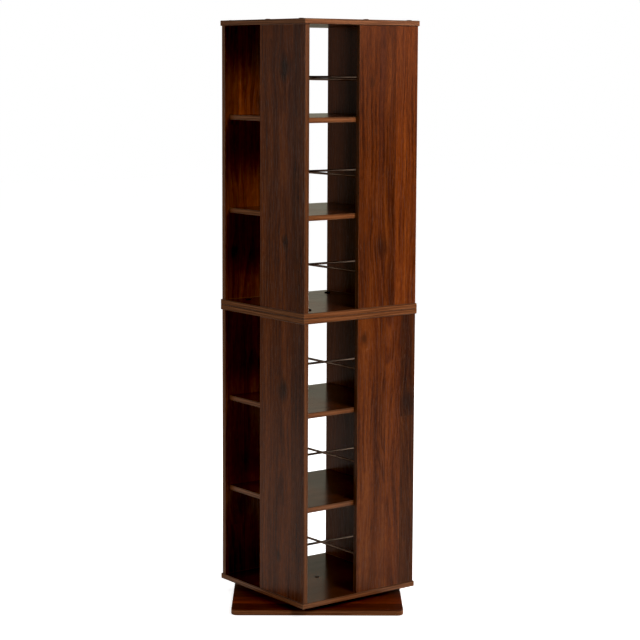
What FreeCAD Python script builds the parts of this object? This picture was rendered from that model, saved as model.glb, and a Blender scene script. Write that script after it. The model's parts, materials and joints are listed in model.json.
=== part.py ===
"""Rotating media tower: two stacked square shelf units that turn together on a low square base.

Millimetres, +Z up. The origin is the middle of the underside, on the floor, and the tower turns
about Z on a ball swivel. Four panels stand round each unit like the vanes of a pinwheel, so a
unit looks the same after each quarter turn. Every tier has four pockets, one behind each opening,
and two rods that cross on the tower's axis stop what is pushed into them.
"""
import FreeCAD, Part
import os
import re

import Sketcher

SIZES = {
    # Tower
    "tower_side": 320,  # across the outer faces of two opposite panels
    "board_overhang": 2.5,  # top and bottom boards stand out past the panels
    "board_thickness": 12,
    "panel_thickness": 12,
    "panel_past_centre": 9,  # reach of each panel beyond the tower's centre line
    "shelf_thickness": 12,
    "shelf_fit": 0.1,  # play between a shelf and each panel
    "tier_height": 203,  # clear height of a tier
    "edge_round": 1,
    "hole_play": 0.1,  # radial play of pins and screws in their holes
    # Rods
    "rod_diameter": 5,
    "rod_crossing_height": 85,  # from a tier's floor to the place where its rods cross
    "rod_crossing_gap": 0.1,
    "rod_seat": 8,  # depth of the blind hole at each end
    "rod_end_play": 0.3,
    # Dowels
    "dowel_diameter": 6,
    "dowel_in_face": 7,  # hole depth in the face of a board or panel
    "dowel_in_edge": 16,  # hole depth in the edge of a shelf or panel
    "dowel_end_play": 0.5,
    "shelf_dowel_inset": 28,  # from the ends of the stretch where panel and shelf meet
    # Screws through the boards into the panels' ends
    "end_screw_inset": 22,  # from each end of a panel's width
    "end_screw_diameter": 4,
    "end_screw_head_diameter": 8,
    "end_screw_length": 40,
    "end_screw_tip": 5,  # length of the tapered point
    "screw_cap_diameter": 12,
    "screw_cap_rim": 0.5,
    "screw_cap_height": 1.2,
    # Bolts that hold the upper unit on the lower one
    "unit_bolt_inset": 44,  # from the panels' outer faces
    "unit_bolt_diameter": 6,
    "unit_bolt_head_diameter": 14,
    "unit_bolt_head_height": 2.5,
    "unit_bolt_grip": 8,  # reach into the nut's sleeve
    "unit_bolt_socket": 4,  # across the flats of the hexagon socket
    "unit_bolt_socket_depth": 1.6,
    "unit_nut_sleeve_diameter": 9,
    "unit_nut_sleeve_length": 10,
    "unit_nut_flange_diameter": 14,
    "unit_nut_flange_height": 2,
    # Base
    "base_side": 390,
    "base_thickness": 12,
    "base_corner_radius": 14,
    "base_edge_round": 1.5,
    "base_turn": -37,  # degrees, the base against the tower
    "pad_diameter": 26,
    "pad_thickness": 1.5,
    "pad_inset": 32,  # from the base's edges to a pad's middle
    # Swivel
    "swivel_side": 180,
    "swivel_corner_radius": 12,
    "swivel_plate_thickness": 2,
    "swivel_screw_inset": 13,
    "swivel_screw_diameter": 4,
    "swivel_screw_length": 10,
    "swivel_screw_head_diameter": 8,
    "swivel_screw_head_height": 2.4,
    "access_hole_diameter": 16,  # lets a screwdriver through the base to the upper screws
    "race_radius": 70,
    "race_depth": 0.65,
    "ball_diameter": 8,
    "ball_play": 0.15,
    "ball_count": 20,
    "cage_width": 17,
    "cage_thickness": 3,
    "cage_play": 0.2,
    "rivet_diameter": 6,
    "rivet_play": 0.05,  # running fit in the upper plate
    "rivet_head_diameter": 8,
    "rivet_head_height": 2,
    "rivet_head_play": 0.3,
    "rivet_foot_diameter": 14,
    "rivet_foot_height": 2.5,
    "centre_cap_diameter": 10.5,
    "centre_cap_height": 0.8,
    "centre_cap_plug_length": 4,
}

TIERS_PER_UNIT = 3
SIDES = 4
QUARTER_TURN = 90
FULL_TURN = 360
HEXAGON_POINTS_SHARES = ((0.5, 1), (1, 0), (0.5, -1), (-0.5, -1), (-1, 0), (-0.5, 1))
HEXAGON_FLAT_TO_CORNER_SHARE = 1.1547
SQUARE_DIAGONAL_SHARE = 1.4142

# Formulas that more than one piece uses
FACE = "(tower_side / 2)"
INNER_FACE = f"({FACE} - panel_thickness)"
PANEL_HEIGHT = f"({TIERS_PER_UNIT} * tier_height + {TIERS_PER_UNIT - 1} * shelf_thickness)"
UNIT_HEIGHT = f"({PANEL_HEIGHT} + 2 * board_thickness)"
TIER_STEP = "(tier_height + shelf_thickness)"
END_HOLE_LINE = f"({FACE} - panel_thickness / 2)"
END_SCREW_FAR = f"({FACE} - end_screw_inset)"
END_SCREW_NEAR = "(end_screw_inset - panel_past_centre)"
END_DOWEL = f"(({FACE} - panel_past_centre) / 2)"
SHELF_DOWEL_FAR = f"({INNER_FACE} - shelf_dowel_inset)"
SHELF_DOWEL_NEAR = "(shelf_dowel_inset - panel_past_centre)"
SHELF_EDGE = f"({INNER_FACE} - shelf_fit)"
UNIT_BOLT = f"({FACE} - unit_bolt_inset)"
UNIT_NUT_BORE = "(unit_nut_sleeve_diameter + 2 * hole_play)"
DOWEL_HOLE = "(dowel_diameter + 2 * hole_play)"
SCREW_HOLE = "(end_screw_diameter + 2 * hole_play)"
SCREW_DEPTH = "(end_screw_length - board_thickness + hole_play)"
ROD_RISE = "((rod_diameter + rod_crossing_gap) / 2)"
SWIVEL_FLOOR = "(pad_thickness + base_thickness)"
PLATE_GAP = "(ball_diameter + 2 * ball_play - 2 * race_depth)"
BALL_LEVEL = f"({SWIVEL_FLOOR} + swivel_plate_thickness + {PLATE_GAP} / 2)"
UPPER_PLATE_FLOOR = f"({SWIVEL_FLOOR} + swivel_plate_thickness + {PLATE_GAP})"
TOWER_FLOOR = f"({UPPER_PLATE_FLOOR} + swivel_plate_thickness)"
SWIVEL_SCREW = "(swivel_side / 2 - swivel_screw_inset)"
SWIVEL_SCREW_HOLE = "(swivel_screw_diameter + 2 * hole_play)"
SWIVEL_SCREW_DEPTH = "(swivel_screw_length - swivel_plate_thickness + hole_play)"
RIVET_HEAD_HOLE = "(rivet_head_diameter + 2 * rivet_head_play)"

doc = FreeCAD.newDocument("media_tower")
sheet = doc.addObject("Spreadsheet::Sheet", "Sizes")
for row, (alias, amount) in enumerate(SIZES.items(), start=1):
    sheet.set(f"A{row}", alias)
    sheet.set(f"B{row}", str(amount))
    sheet.setAlias(f"B{row}", alias)
doc.recompute()

pieces = []


def linked(formula):
    """The formula with each size's name pointing at its cell in the sheet."""
    return re.sub(r"[a-z_]+", lambda word: f"Sizes.{word.group()}", formula)


def bind(thing, links):
    for prop, formula in links.items():
        thing.setExpression(prop, linked(formula))


def origin_part(body, role):
    return next(part for part in body.Origin.OriginFeatures if part.Role == role)


def place(thing, level, turn=0):
    """Stand a piece at its level on the tower's axis, turned about it by whole degrees."""
    spin = FreeCAD.Rotation(FreeCAD.Vector(0, 0, 1), turn)
    thing.Placement = FreeCAD.Placement(FreeCAD.Vector(), spin)
    bind(thing, {"Placement.Base.z": level})


def place_with_base(thing, level):
    place(thing, level, SIZES["base_turn"])
    bind(thing, {"Placement.Rotation.Angle": "base_turn"})


def new_body(label):
    body = doc.addObject("PartDesign::Body", label)
    body.Label = label
    body.AllowCompound = True
    pieces.append(body)
    return body


def new_sketch(body, plane, across="0", up="0", out="0"):
    """A sketch on one of the body's origin planes, shifted in that plane and out of it."""
    sketch = body.newObject("Sketcher::SketchObject", "Sketch")
    sketch.AttachmentSupport = [(origin_part(body, plane), "")]
    sketch.MapMode = "FlatFace"
    for axis, formula in zip("xyz", (across, up, out)):
        bind(sketch, {f"AttachmentOffset.Base.{axis}": formula})
    return sketch


def fix_point(sketch, geometry, point, place_formulas):
    """Tie a point of the sketch to its distances from the sketch's origin."""
    for kind, formula in zip(("DistanceX", "DistanceY"), place_formulas):
        index = sketch.addConstraint(Sketcher.Constraint(kind, -1, 1, geometry, point, 1))
        bind(sketch, {f"Constraints[{index}]": formula})


def draw_outline(sketch, points):
    """A closed outline of straight lines, drawn on a unit circle and then tied to its formulas."""
    count = len(points)
    turns = [FreeCAD.Rotation(FreeCAD.Vector(0, 0, 1), FULL_TURN * i / count) for i in range(count)]
    corners = [turn.multVec(FreeCAD.Vector(1, 0, 0)) for turn in turns]
    for i in range(count):
        sketch.addGeometry(Part.LineSegment(corners[i], corners[(i + 1) % count]))
    for i in range(count):
        sketch.addConstraint(Sketcher.Constraint("Coincident", i, 2, (i + 1) % count, 1))
    for i, point in enumerate(points):
        fix_point(sketch, i, 1, point)


def draw_circles(sketch, centres, diameter):
    for i, centre in enumerate(centres):
        sketch.addGeometry(Part.Circle(FreeCAD.Vector(), FreeCAD.Vector(0, 0, 1), 1))
        fix_point(sketch, i, 3, centre)
        index = sketch.addConstraint(Sketcher.Constraint("Diameter", i, 1))
        bind(sketch, {f"Constraints[{index}]": diameter})


def rectangle(left, right, low, high):
    return [(left, low), (right, low), (right, high), (left, high)]


def add_feature(body, kind, sketch, links, **settings):
    feature = body.newObject(f"PartDesign::{kind}", kind)
    feature.Profile = sketch
    for prop, setting in settings.items():
        setattr(feature, prop, setting)
    bind(feature, links)
    body.Tip = feature
    return feature


def add_pad(body, outline, height):
    sketch = new_sketch(body, "XY_Plane")
    draw_outline(sketch, outline)
    return add_feature(body, "Pad", sketch, {"Length": height})


def add_holes(body, plane, centres, diameter, depth, out="0", away=False):
    """Round blind holes, cut from a plane in its own direction or against it."""
    sketch = new_sketch(body, plane, out=out)
    draw_circles(sketch, centres, diameter)
    return add_feature(body, "Pocket", sketch, {"Length": depth}, Reversed=not away)


def add_turned(body, profile, across="0", out="0", kind="Revolution"):
    """A shape turned about an upright axis, from its half profile of radii and heights."""
    sketch = new_sketch(body, "YZ_Plane", across=across, out=out)
    draw_outline(sketch, profile)
    return add_feature(body, kind, sketch, {}, ReferenceAxis=(sketch, ["V_Axis"]), Angle=FULL_TURN)


def repeat_round(body, features, count=None):
    """Copies of the features round the body's own upright axis, one for each side unless counted."""
    pattern = body.newObject("PartDesign::PolarPattern", "Pattern")
    pattern.Originals = features
    pattern.Axis = (origin_part(body, "Z_Axis"), [""])
    pattern.Angle = FULL_TURN
    pattern.Occurrences = SIDES
    if count:
        bind(pattern, {"Occurrences": count})
    body.Tip = pattern
    return pattern


def round_edges(body, base, radius, chosen):
    doc.recompute()
    names = [f"Edge{i}" for i, edge in enumerate(base.Shape.Edges, start=1) if chosen(edge)]
    fillet = body.newObject("PartDesign::Fillet", "Fillet")
    fillet.Base = (base, names)
    bind(fillet, {"Radius": radius})
    body.Tip = fillet
    return fillet


def is_upright(edge):
    box = edge.BoundBox
    return box.ZLength > max(box.XLength, box.YLength)


def is_level(edge):
    return not is_upright(edge)


def square_board(label, half_side, thickness, rounding, chosen):
    body = new_body(label)
    plate = add_pad(body, rectangle(f"-{half_side}", half_side, f"-{half_side}", half_side), thickness)
    round_edges(body, plate, rounding, chosen)
    return body


def any_edge(edge):
    return True


def end_board(label, level, heads_up):
    """A unit's top or bottom board, drilled for the panels' screws and dowels."""
    board = square_board(label, f"({FACE} + board_overhang)", "board_thickness", "edge_round", any_edge)
    head_side = "board_thickness" if heads_up else "0"
    dowel_side = "0" if heads_up else "board_thickness"
    screw_places = [(END_HOLE_LINE, END_SCREW_FAR), (END_HOLE_LINE, END_SCREW_NEAR)]
    drilled = [add_holes(board, "XY_Plane", screw_places, SCREW_HOLE, "board_thickness", head_side,
                         heads_up)]
    radius = "(end_screw_diameter / 2 + hole_play)"
    head_radius = "(end_screw_head_diameter / 2 + hole_play)"
    cone = f"({head_radius} - {radius})"
    cone_floor = f"(board_thickness - {cone})" if heads_up else cone
    for across in (END_SCREW_FAR, END_SCREW_NEAR):
        profile = [("0", head_side), (head_radius, head_side), (radius, cone_floor), ("0", cone_floor)]
        drilled.append(add_turned(board, profile, across, END_HOLE_LINE, "Groove"))
    dowel_places = [(END_HOLE_LINE, END_DOWEL)]
    drilled.append(add_holes(board, "XY_Plane", dowel_places, DOWEL_HOLE, "dowel_in_face", dowel_side,
                             not heads_up))
    repeat_round(board, drilled)
    place(board, level)
    return board


def drill_unit_bolts(board, diameter):
    hole = add_holes(board, "XY_Plane", [(UNIT_BOLT, UNIT_BOLT)], diameter, "board_thickness")
    repeat_round(board, [hole])


def drill_swivel_seat(board):
    """Pilot holes for the swivel's upper screws and a clear hole over the rivet's head."""
    pilot = add_holes(board, "XY_Plane", [(SWIVEL_SCREW, SWIVEL_SCREW)], SWIVEL_SCREW_HOLE,
                      SWIVEL_SCREW_DEPTH)
    repeat_round(board, [pilot])
    add_holes(board, "XY_Plane", [("0", "0")], RIVET_HEAD_HOLE, "board_thickness")


def shelf(label, level):
    board = square_board(label, SHELF_EDGE, "shelf_thickness", "edge_round", is_level)
    dowel_places = [(SHELF_DOWEL_FAR, "shelf_thickness / 2"), (SHELF_DOWEL_NEAR, "shelf_thickness / 2")]
    holes = add_holes(board, "YZ_Plane", dowel_places, DOWEL_HOLE, "dowel_in_edge", SHELF_EDGE, True)
    repeat_round(board, [holes])
    place(board, level)


def panel(label, level, turn, rods_high):
    """One upright panel, drawn on the tower's right side and turned to its own."""
    body = new_body(label)
    stand = add_pad(body, rectangle(INNER_FACE, FACE, "-panel_past_centre", FACE), PANEL_HEIGHT)
    round_edges(body, stand, "edge_round", is_upright)
    screw_places = [(END_HOLE_LINE, END_SCREW_FAR), (END_HOLE_LINE, END_SCREW_NEAR)]
    dowel_places = [(END_HOLE_LINE, END_DOWEL)]
    for end, away in (("0", False), (PANEL_HEIGHT, True)):
        add_holes(body, "XY_Plane", screw_places, SCREW_HOLE, SCREW_DEPTH, end, away)
        add_holes(body, "XY_Plane", dowel_places, DOWEL_HOLE, "dowel_in_edge", end, away)
    rise = ROD_RISE if rods_high else f"-{ROD_RISE}"
    rod_places = [("0", f"{tier} * {TIER_STEP} + rod_crossing_height + {rise}")
                  for tier in range(TIERS_PER_UNIT)]
    add_holes(body, "YZ_Plane", rod_places, "rod_diameter + 2 * hole_play", "rod_seat", INNER_FACE)
    shelf_dowel_places = [(across, f"{tier} * {TIER_STEP} - shelf_thickness / 2")
                          for tier in range(1, TIERS_PER_UNIT)
                          for across in (SHELF_DOWEL_FAR, SHELF_DOWEL_NEAR)]
    add_holes(body, "YZ_Plane", shelf_dowel_places, DOWEL_HOLE, "dowel_in_face", INNER_FACE)
    place(body, level, turn)


def rod(label, level, turn):
    """A straight rod across the tower's axis, lying along X before its turn."""
    reach = f"({INNER_FACE} + rod_seat - rod_end_play)"
    bar = doc.addObject("Part::Cylinder", label)
    bar.Label = label
    bind(bar, {"Radius": "rod_diameter / 2", "Height": f"2 * {reach}"})
    along = FreeCAD.Rotation(FreeCAD.Vector(0, 1, 0), QUARTER_TURN)
    spin = FreeCAD.Rotation(FreeCAD.Vector(0, 0, 1), turn)
    bar.Placement = FreeCAD.Placement(FreeCAD.Vector(), spin.multiply(along))
    bind(bar, {f"Placement.Base.{'y' if turn else 'x'}": f"-{reach}", "Placement.Base.z": level})
    pieces.append(bar)


def end_screws(label, level, heads_up):
    """The screws that hold the four panels to one board, heads flush with its outer face."""
    body = new_body(label)
    radius = "(end_screw_diameter / 2)"
    head_radius = "(end_screw_head_diameter / 2)"
    way = "-" if heads_up else ""
    profile = [("0", "0"), (head_radius, "0"), (radius, f"{way}({head_radius} - {radius})"),
               (radius, f"{way}(end_screw_length - end_screw_tip)"), ("0", f"{way}end_screw_length")]
    turned = [add_turned(body, profile, across, END_HOLE_LINE)
              for across in (END_SCREW_FAR, END_SCREW_NEAR)]
    repeat_round(body, turned)
    place(body, level)


def end_dowels(label, level, panel_above):
    """The dowels between one board and the ends of its four panels; the level is that of the joint."""
    body = new_body(label)
    in_edge = "(dowel_in_edge - dowel_end_play)"
    in_face = "(dowel_in_face - dowel_end_play)"
    low, high = (f"-{in_face}", in_edge) if panel_above else (f"-{in_edge}", in_face)
    radius = "(dowel_diameter / 2)"
    profile = [("0", low), (radius, low), (radius, high), ("0", high)]
    repeat_round(body, [add_turned(body, profile, END_DOWEL, END_HOLE_LINE)])
    place(body, level)


def shelf_dowels(label, level):
    """The dowels between one shelf and its four panels; the level is the middle of the shelf."""
    body = new_body(label)
    inner_end = f"({SHELF_EDGE} - dowel_in_edge + dowel_end_play)"
    sketch = new_sketch(body, "YZ_Plane", out=inner_end)
    draw_circles(sketch, [(SHELF_DOWEL_FAR, "0"), (SHELF_DOWEL_NEAR, "0")], "dowel_diameter")
    reach = "dowel_in_edge + shelf_fit + dowel_in_face - 2 * dowel_end_play"
    repeat_round(body, [add_feature(body, "Pad", sketch, {"Length": reach})])
    place(body, level)


def shelf_unit(name, floor, rods_along_x_high):
    """One three-tier unit: two end boards, shelves, panels, rods and what joins them."""
    panel_floor = f"({floor} + board_thickness)"
    roof = f"({panel_floor} + {PANEL_HEIGHT})"
    boards = (end_board(f"{name}_bottom_board", floor, False), end_board(f"{name}_top_board", roof, True))
    end_screws(f"{name}_bottom_screws", floor, False)
    end_screws(f"{name}_top_screws", f"{roof} + board_thickness", True)
    end_dowels(f"{name}_bottom_dowels", panel_floor, True)
    end_dowels(f"{name}_top_dowels", roof, False)
    for turn_count, side in enumerate(("right", "back", "left", "front")):
        along_x = side in ("right", "left")
        panel(f"{name}_panel_{side}", panel_floor, turn_count * QUARTER_TURN, along_x == rods_along_x_high)
    for tier in range(1, TIERS_PER_UNIT):
        shelf_top = f"({panel_floor} + {tier} * {TIER_STEP})"
        shelf(f"{name}_shelf_{tier}", f"{shelf_top} - shelf_thickness")
        shelf_dowels(f"{name}_shelf_{tier}_dowels", f"{shelf_top} - shelf_thickness / 2")
    for tier in range(TIERS_PER_UNIT):
        crossing = f"{panel_floor} + {tier} * {TIER_STEP} + rod_crossing_height"
        high = f"{crossing} + {ROD_RISE}"
        low = f"{crossing} - {ROD_RISE}"
        rod(f"{name}_rod_{tier + 1}_side_to_side", high if rods_along_x_high else low, 0)
        rod(f"{name}_rod_{tier + 1}_front_to_back", low if rods_along_x_high else high, QUARTER_TURN)
    return boards


def screw_caps(level):
    """Low domed caps over the screw heads on the top board."""
    body = new_body("top_screw_caps")
    radius = "(screw_cap_diameter / 2)"
    profile = [("0", "0"), (radius, "0"), (radius, "screw_cap_rim"),
               (f"{radius} - screw_cap_height", "screw_cap_height"), ("0", "screw_cap_height")]
    turned = [add_turned(body, profile, across, END_HOLE_LINE)
              for across in (END_SCREW_FAR, END_SCREW_NEAR)]
    repeat_round(body, turned)
    place(body, level)


def unit_bolts(level):
    """Flat-headed bolts with hexagon sockets; the level is the floor that the heads stand on."""
    body = new_body("unit_bolts")
    radius = "(unit_bolt_diameter / 2)"
    head_radius = "(unit_bolt_head_diameter / 2)"
    tip = "-(board_thickness + unit_bolt_grip)"
    profile = [("0", tip), (radius, tip), (radius, "0"), (head_radius, "0"),
               (head_radius, "unit_bolt_head_height"), ("0", "unit_bolt_head_height")]
    bolt = add_turned(body, profile, UNIT_BOLT, UNIT_BOLT)
    socket = new_sketch(body, "XY_Plane", UNIT_BOLT, UNIT_BOLT, "unit_bolt_head_height")
    corner = f"(unit_bolt_socket * {HEXAGON_FLAT_TO_CORNER_SHARE} / 2)"
    flat = "(unit_bolt_socket / 2)"
    draw_outline(socket, [(f"{along_share} * {corner}", f"{across_share} * {flat}")
                          for along_share, across_share in HEXAGON_POINTS_SHARES])
    cut = add_feature(body, "Pocket", socket, {"Length": "unit_bolt_socket_depth"})
    repeat_round(body, [bolt, cut])
    place(body, level)


def unit_nuts(level):
    """Sleeve nuts under the lower unit's top board; the level is that board's underside."""
    body = new_body("unit_nuts")
    bore = "(unit_bolt_diameter / 2 + hole_play)"
    sleeve = "(unit_nut_sleeve_diameter / 2)"
    flange = "(unit_nut_flange_diameter / 2)"
    profile = [(bore, "-unit_nut_flange_height"), (flange, "-unit_nut_flange_height"), (flange, "0"),
               (sleeve, "0"), (sleeve, "unit_nut_sleeve_length"), (bore, "unit_nut_sleeve_length")]
    repeat_round(body, [add_turned(body, profile, UNIT_BOLT, UNIT_BOLT)])
    place(body, level)


def base_board():
    board = square_board("base_board", "(base_side / 2)", "base_thickness", "base_corner_radius",
                         is_upright)
    round_edges(board, board.Tip, "base_edge_round", is_level)
    pilot = add_holes(board, "XY_Plane", [(SWIVEL_SCREW, SWIVEL_SCREW)], SWIVEL_SCREW_HOLE,
                      SWIVEL_SCREW_DEPTH, "base_thickness", True)
    repeat_round(board, [pilot])
    foot_hole = "rivet_foot_diameter + 2 * rivet_head_play"
    add_holes(board, "XY_Plane", [("0", "0")], foot_hole, "rivet_foot_height + rivet_head_play",
              "base_thickness", True)
    screw_circle = f"({SQUARE_DIAGONAL_SHARE} * {SWIVEL_SCREW})"
    add_holes(board, "XY_Plane", [(screw_circle, "0")], "access_hole_diameter", "base_thickness")
    place_with_base(board, "pad_thickness")


def base_pads():
    body = new_body("base_pads")
    sketch = new_sketch(body, "XY_Plane")
    corner = "(base_side / 2 - pad_inset)"
    draw_circles(sketch, [(corner, corner)], "pad_diameter")
    repeat_round(body, [add_feature(body, "Pad", sketch, {"Length": "pad_thickness"})])
    place_with_base(body, "0")


def swivel_plate(label, level, race_up, bore):
    """A square pressed plate with a ball race on one face, screw holes and a middle hole."""
    plate = square_board(label, "(swivel_side / 2)", "swivel_plate_thickness", "swivel_corner_radius",
                         is_upright)
    screw = add_holes(plate, "XY_Plane", [(SWIVEL_SCREW, SWIVEL_SCREW)], SWIVEL_SCREW_HOLE,
                      "swivel_plate_thickness")
    repeat_round(plate, [screw])
    add_holes(plate, "XY_Plane", [("0", "0")], bore, "swivel_plate_thickness")
    ball_middle = f"{PLATE_GAP} / 2"
    race = new_sketch(plate, "YZ_Plane")
    race_level = f"swivel_plate_thickness + {ball_middle}" if race_up else f"-{ball_middle}"
    draw_circles(race, [("race_radius", race_level)], "ball_diameter + 2 * ball_play")
    add_feature(plate, "Groove", race, {}, ReferenceAxis=(race, ["V_Axis"]), Angle=FULL_TURN)
    if race_up:
        place_with_base(plate, level)
    else:
        place(plate, level)


def swivel_screws(label, level, heads_up):
    """Pan-head screws through a swivel plate; the level is the plate's face under the heads."""
    body = new_body(label)
    radius = "(swivel_screw_diameter / 2)"
    head_radius = "(swivel_screw_head_diameter / 2)"
    way, back = ("", "-") if heads_up else ("-", "")
    head = f"{way}swivel_screw_head_height"
    tip = f"{back}swivel_screw_length"
    profile = [("0", tip), (radius, tip), (radius, "0"), (head_radius, "0"), (head_radius, head),
               ("0", head)]
    repeat_round(body, [add_turned(body, profile, SWIVEL_SCREW, SWIVEL_SCREW)])
    if heads_up:
        place_with_base(body, level)
    else:
        place(body, level)


def ball_cage():
    body = new_body("ball_cage")
    sketch = new_sketch(body, "XY_Plane")
    draw_circles(sketch, [("0", "0")], "2 * race_radius + cage_width")
    add_feature(body, "Pad", sketch, {"Length": "cage_thickness"})
    add_holes(body, "XY_Plane", [("0", "0")], "2 * race_radius - cage_width", "cage_thickness")
    pocket = add_holes(body, "XY_Plane", [("race_radius", "0")], "ball_diameter + 2 * cage_play",
                       "cage_thickness")
    repeat_round(body, [pocket], "ball_count")
    place(body, f"{BALL_LEVEL} - cage_thickness / 2")


def swivel_balls():
    body = new_body("swivel_balls")
    ball = body.newObject("PartDesign::AdditiveSphere", "Ball")
    bind(ball, {"Radius": "ball_diameter / 2", "Placement.Base.x": "race_radius"})
    body.Tip = ball
    repeat_round(body, [ball], "ball_count")
    place(body, BALL_LEVEL)


def pivot_rivet():
    """The pin that keeps the swivel's plates on one axis, fast in the lower plate."""
    body = new_body("pivot_rivet")
    shank = "(rivet_diameter / 2)"
    head = "(rivet_head_diameter / 2)"
    foot = "(rivet_foot_diameter / 2)"
    head_floor = f"(2 * swivel_plate_thickness + {PLATE_GAP} + rivet_head_play)"
    head_top = f"({head_floor} + rivet_head_height)"
    profile = [("0", "-rivet_foot_height"), (foot, "-rivet_foot_height"), (foot, "0"), (shank, "0"),
               (shank, head_floor), (head, head_floor), (head, head_top), ("0", head_top)]
    add_turned(body, profile)
    place(body, SWIVEL_FLOOR)


def centre_cap(level):
    """A flat cap with a plug that closes the hole over the rivet."""
    body = new_body("centre_cap")
    plug = f"({RIVET_HEAD_HOLE} / 2 - hole_play)"
    brim = "(centre_cap_diameter / 2)"
    profile = [("0", "-centre_cap_plug_length"), (plug, "-centre_cap_plug_length"), (plug, "0"),
               (brim, "0"), (brim, "centre_cap_height"), ("0", "centre_cap_height")]
    add_turned(body, profile)
    place(body, level)


def write_pieces():
    doc.recompute()
    for thing in doc.Objects:
        if {"Invalid", "Error"} & set(thing.State):
            raise RuntimeError(f"{thing.Label} could not be made: {thing.State}")
    os.makedirs("parts", exist_ok=True)
    for piece in pieces:
        if piece.Shape.isNull() or not piece.Shape.isValid():
            raise RuntimeError(f"{piece.Label} has no valid shape")
    for piece in pieces:
        piece.Shape.exportStep(f"parts/{piece.Label}.step")


upper_floor = f"({TOWER_FLOOR} + {UNIT_HEIGHT})"
base_board()
base_pads()
swivel_plate("swivel_lower_plate", SWIVEL_FLOOR, True, "rivet_diameter")
swivel_plate("swivel_upper_plate", UPPER_PLATE_FLOOR, False, "rivet_diameter + 2 * rivet_play")
swivel_screws("swivel_lower_screws", f"{SWIVEL_FLOOR} + swivel_plate_thickness", True)
swivel_screws("swivel_upper_screws", UPPER_PLATE_FLOOR, False)
ball_cage()
swivel_balls()
pivot_rivet()
lower_bottom, lower_top = shelf_unit("lower", TOWER_FLOOR, False)
upper_bottom, upper_top = shelf_unit("upper", upper_floor, True)
drill_swivel_seat(lower_bottom)
drill_unit_bolts(lower_top, UNIT_NUT_BORE)
drill_unit_bolts(upper_bottom, "unit_bolt_diameter + 2 * hole_play")
centre_cap(f"{TOWER_FLOOR} + board_thickness")
unit_nuts(f"{upper_floor} - board_thickness")
unit_bolts(f"{upper_floor} + board_thickness")
screw_caps(f"{upper_floor} + {UNIT_HEIGHT}")
write_pieces()
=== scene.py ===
"""Looks of the rotating media tower: walnut-print boards and panels, cross rods, fasteners, swivel and base."""

import json
import math

import bmesh
import bpy
from mathutils import Matrix, Vector

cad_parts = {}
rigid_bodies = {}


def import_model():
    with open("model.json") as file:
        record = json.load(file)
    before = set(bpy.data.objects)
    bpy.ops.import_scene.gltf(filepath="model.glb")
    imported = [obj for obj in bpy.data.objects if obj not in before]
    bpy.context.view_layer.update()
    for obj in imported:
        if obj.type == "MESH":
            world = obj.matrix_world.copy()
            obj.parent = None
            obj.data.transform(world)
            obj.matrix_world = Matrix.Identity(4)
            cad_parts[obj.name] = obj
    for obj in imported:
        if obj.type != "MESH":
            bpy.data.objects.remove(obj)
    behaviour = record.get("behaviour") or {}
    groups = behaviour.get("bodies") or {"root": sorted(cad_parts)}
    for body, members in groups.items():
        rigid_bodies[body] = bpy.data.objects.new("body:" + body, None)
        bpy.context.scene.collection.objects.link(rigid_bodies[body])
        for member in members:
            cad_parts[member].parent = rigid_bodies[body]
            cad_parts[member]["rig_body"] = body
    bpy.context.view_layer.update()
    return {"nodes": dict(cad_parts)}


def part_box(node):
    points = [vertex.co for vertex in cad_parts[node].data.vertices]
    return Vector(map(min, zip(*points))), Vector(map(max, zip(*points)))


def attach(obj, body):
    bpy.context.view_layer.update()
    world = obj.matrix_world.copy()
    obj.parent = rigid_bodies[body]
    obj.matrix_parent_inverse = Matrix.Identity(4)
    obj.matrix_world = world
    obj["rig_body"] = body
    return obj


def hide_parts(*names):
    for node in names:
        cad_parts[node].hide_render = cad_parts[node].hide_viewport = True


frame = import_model()
cad = frame["nodes"]

UNITS = ("lower", "upper")
SIDES = ("front", "right", "back", "left")
TIERS = (1, 2, 3)
SHELVES = (1, 2)
BASE_TURN, BASE_HALF_SIDE = math.radians(-37), 0.195
TURN = 2 * math.pi
X, Y, Z = Vector((1, 0, 0)), Vector((0, 1, 0)), Vector((0, 0, 1))


# Node trees


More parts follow.
